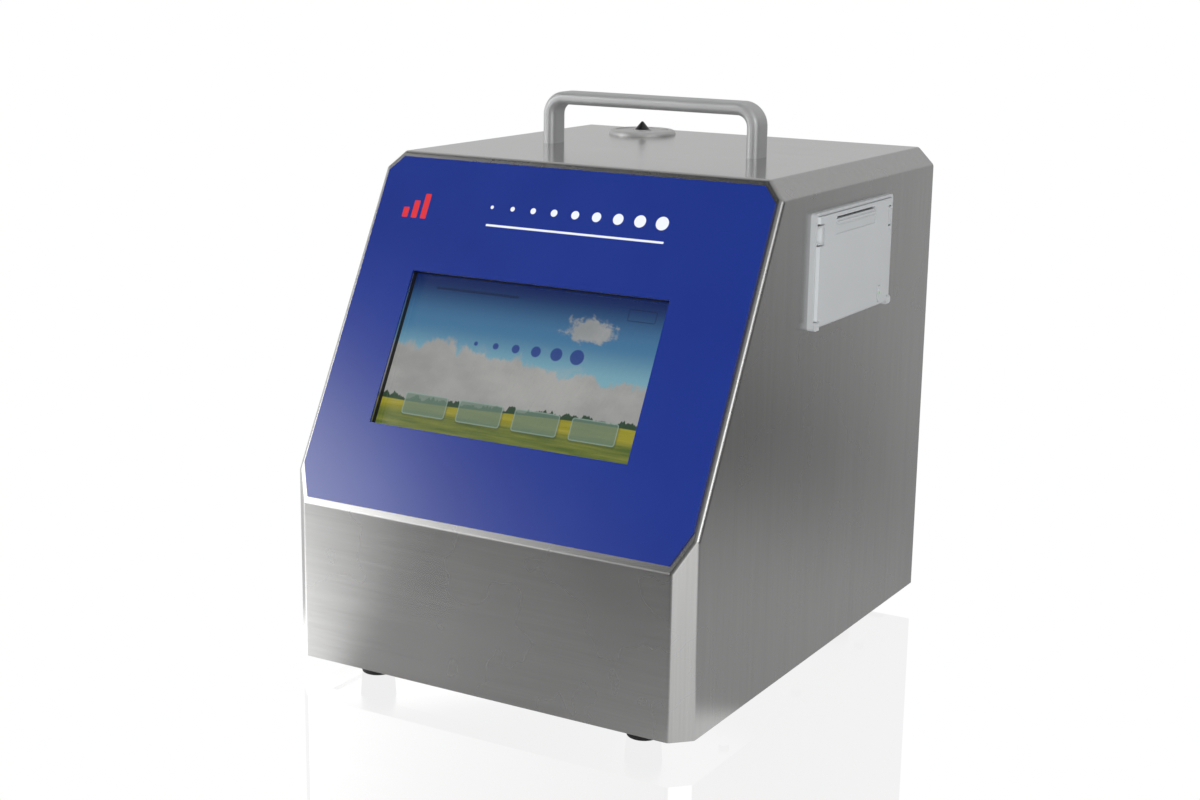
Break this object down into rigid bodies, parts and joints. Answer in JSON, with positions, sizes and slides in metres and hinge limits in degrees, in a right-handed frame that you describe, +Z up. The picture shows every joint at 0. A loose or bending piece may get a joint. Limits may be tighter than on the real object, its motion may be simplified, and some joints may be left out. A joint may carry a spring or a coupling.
{
  "type": "airborne particle counter",
  "caption": "Bench airborne particle counter: folded stainless case with a sloped screen panel, bow handle, sampling inlet on top, panel printer in its side and rubber feet.",
  "frame": {"origin": "middle of the case's footprint, on the plane that the feet stand on", "axes": "+Z up, -Y towards the sloped front, +X towards the side with the printer"},
  "size_m": [0.2551, 0.321, 0.317],
  "materials": {
    "steel_case": "fine grain, satin",
    "front_blue": "printed sheet, satin",
    "black_rubber": "matt",
    "screen_glass": "clear, smooth",
    "screen": "lit screen, smooth",
    "satin_aluminium": "satin anodised",
    "polished_steel": "polished",
    "screw_steel": "plain",
    "black_gloss": "smooth",
    "black_plastic": "fine texture",
    "printer_grey": "fine texture",
    "green_lamp": "smooth",
    "board_green": "solder mask",
    "clear_hose": "soft, smooth",
    "filter_white": "smooth",
    "pin_brass": "plain",
    "paper_white": "smooth"
  },
  "bodies": {
    "case": {"housing_shell": "steel_case", "base_plate": "steel_case", "rear_panel": "steel_case", "sensor_bracket": "steel_case", "display_bracket": "steel_case", "front_overlay": "front_blue", "display_gasket": "black_rubber", "inlet_seal": "black_rubber", "foot_front_left": "black_rubber", "foot_front_right": "black_rubber", "foot_rear_left": "black_rubber", "foot_rear_right": "black_rubber", "touch_glass": "screen_glass", "lcd_panel": "screen", "carry_handle": "satin_aluminium", "sensor_block": "satin_aluminium", "laser_module": "satin_aluminium", "power_supply": "satin_aluminium", "inlet_flange": "polished_steel", "door_pins": "polished_steel", "inlet_nut": "polished_steel", "serial_socket": "polished_steel", "usb_socket": "polished_steel", "fan_guard": "polished_steel", "exhaust_spigot": "polished_steel", "base_screws": "screw_steel", "panel_screws": "screw_steel", "foot_screws": "screw_steel", "handle_screws": "screw_steel", "fan_screws": "screw_steel", "display_posts": "screw_steel", "display_nuts": "screw_steel", "board_posts": "screw_steel", "mains_inlet": "black_gloss", "pump_housing": "black_plastic", "pump_motor": "black_plastic", "fan_frame": "black_plastic", "beam_dump": "black_plastic", "flow_sensor": "black_plastic", "print_head": "black_plastic", "printer_frame": "printer_grey", "display_board": "board_green", "main_board": "board_green", "detector_board": "board_green", "inlet_tube": "clear_hose", "exhaust_tube": "clear_hose", "exhaust_filter": "filter_white", "inlet_pins": "pin_brass", "paper_roll": "paper_white"},
    "printer_door": {"printer_door": "printer_grey", "tear_bar": "printer_grey"},
    "platen_roller": {"platen_roller": "black_rubber"},
    "door_latch": {"door_latch": "printer_grey"},
    "feed_button": {"feed_button": "printer_grey", "status_lens": "green_lamp"},
    "inlet_plug": {"inlet_plug": "black_gloss"},
    "fuse_drawer": {"fuse_drawer": "black_gloss"},
    "power_rocker": {"power_rocker": "black_gloss"},
    "fan_rotor": {"fan_rotor": "black_plastic"},
    "pump_impeller": {"pump_impeller": "black_plastic"}
  },
  "joints": [
    {"name": "printer_door_hinge", "type": "hinge", "parent": "case", "child": "printer_door", "pos_m": [0.1274, 0.029, 0.2058], "axis": [0, 1, 0], "range_deg": [0, 90]},
    {"name": "platen_roller_spin", "type": "hinge", "parent": "printer_door", "child": "platen_roller", "pos_m": [0.119, 0.027, 0.2565], "axis": [0, 1, 0], "continuous": true},
    {"name": "door_latch_pull", "type": "hinge", "parent": "printer_door", "child": "door_latch", "pos_m": [0.1245, 0.029, 0.2503], "axis": [0, 1, 0], "range_deg": [0, 10], "stiffness_Nm_per_rad": 0.05},
    {"name": "feed_button_press", "type": "slide", "parent": "printer_door", "child": "feed_button", "axis": [-1, 0, 0], "range_m": [0, 0.001], "stiffness_N_per_m": 300},
    {"name": "inlet_plug_pull", "type": "slide", "parent": "case", "child": "inlet_plug", "axis": [0, 0, 1], "range_m": [0, 0.009]},
    {"name": "fuse_drawer_slide", "type": "slide", "parent": "case", "child": "fuse_drawer", "axis": [0, 1, 0], "range_m": [0, 0.016]},
    {"name": "power_rocker_tilt", "type": "hinge", "parent": "case", "child": "power_rocker", "pos_m": [0.082, 0.1535, 0.11], "axis": [-1, 0, 0], "range_deg": [0, 14]},
    {"name": "fan_spin", "type": "hinge", "parent": "case", "child": "fan_rotor", "pos_m": [0.02, 0.1435, 0.205], "axis": [0, 1, 0], "continuous": true},
    {"name": "pump_spin", "type": "hinge", "parent": "case", "child": "pump_impeller", "pos_m": [-0.0565, 0.118, 0.0515], "axis": [0, 0, 1], "continuous": true}
  ]
}
